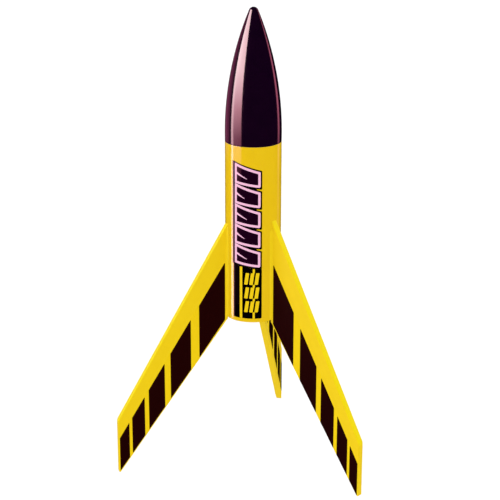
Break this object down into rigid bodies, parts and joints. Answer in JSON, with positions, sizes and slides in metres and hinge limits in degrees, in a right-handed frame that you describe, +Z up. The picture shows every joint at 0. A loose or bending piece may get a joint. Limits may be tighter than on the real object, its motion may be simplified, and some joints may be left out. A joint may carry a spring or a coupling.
{
  "type": "model rocket",
  "caption": "Small finned model rocket: paper tube, pull-off ogive nose cone, swept balsa fins glued on edge, launch lug, thrust ring and geometric film decals.",
  "frame": {"origin": "middle of the footprint's box, on the surface that the fin tips stand on; the tube's axis stands 8.5 mm from it towards -Y", "axes": "+Z up along the tube, towards the nose; +Y along the back fin; -Y faces the body decals, between the two front fins"},
  "size_m": [0.0622, 0.0538, 0.1155],
  "materials": {
    "nose_plastic": "gloss",
    "insert_plastic": "satin",
    "tube_yellow": "gloss",
    "fin_yellow": "satin",
    "fin_film": "satin",
    "body_film": "gloss",
    "ring_paper": "matte",
    "lug_paper": "satin",
    "glue": "satin"
  },
  "bodies": {
    "airframe": {"body_tube": "tube_yellow", "thrust_ring": "ring_paper", "launch_lug": "lug_paper", "launch_lug_bead": "glue", "upper_body_decal": "body_film", "lower_body_decal": "body_film", "left_fin": "fin_yellow", "left_fin_decal_a": "fin_film", "left_fin_decal_b": "fin_film", "left_fin_fillet_a": "glue", "left_fin_fillet_b": "glue", "right_fin": "fin_yellow", "right_fin_decal_a": "fin_film", "right_fin_decal_b": "fin_film", "right_fin_fillet_a": "glue", "right_fin_fillet_b": "glue", "back_fin": "fin_yellow", "back_fin_decal_a": "fin_film", "back_fin_decal_b": "fin_film", "back_fin_fillet_a": "glue", "back_fin_fillet_b": "glue"},
    "nose": {"nose_cone": "nose_plastic", "nose_cone_base": "insert_plastic"}
  },
  "joints": [
    {"name": "nose_cone_pull", "type": "slide", "parent": "airframe", "child": "nose", "axis": [0, 0, 1], "range_m": [0, 0.03]}
  ]
}
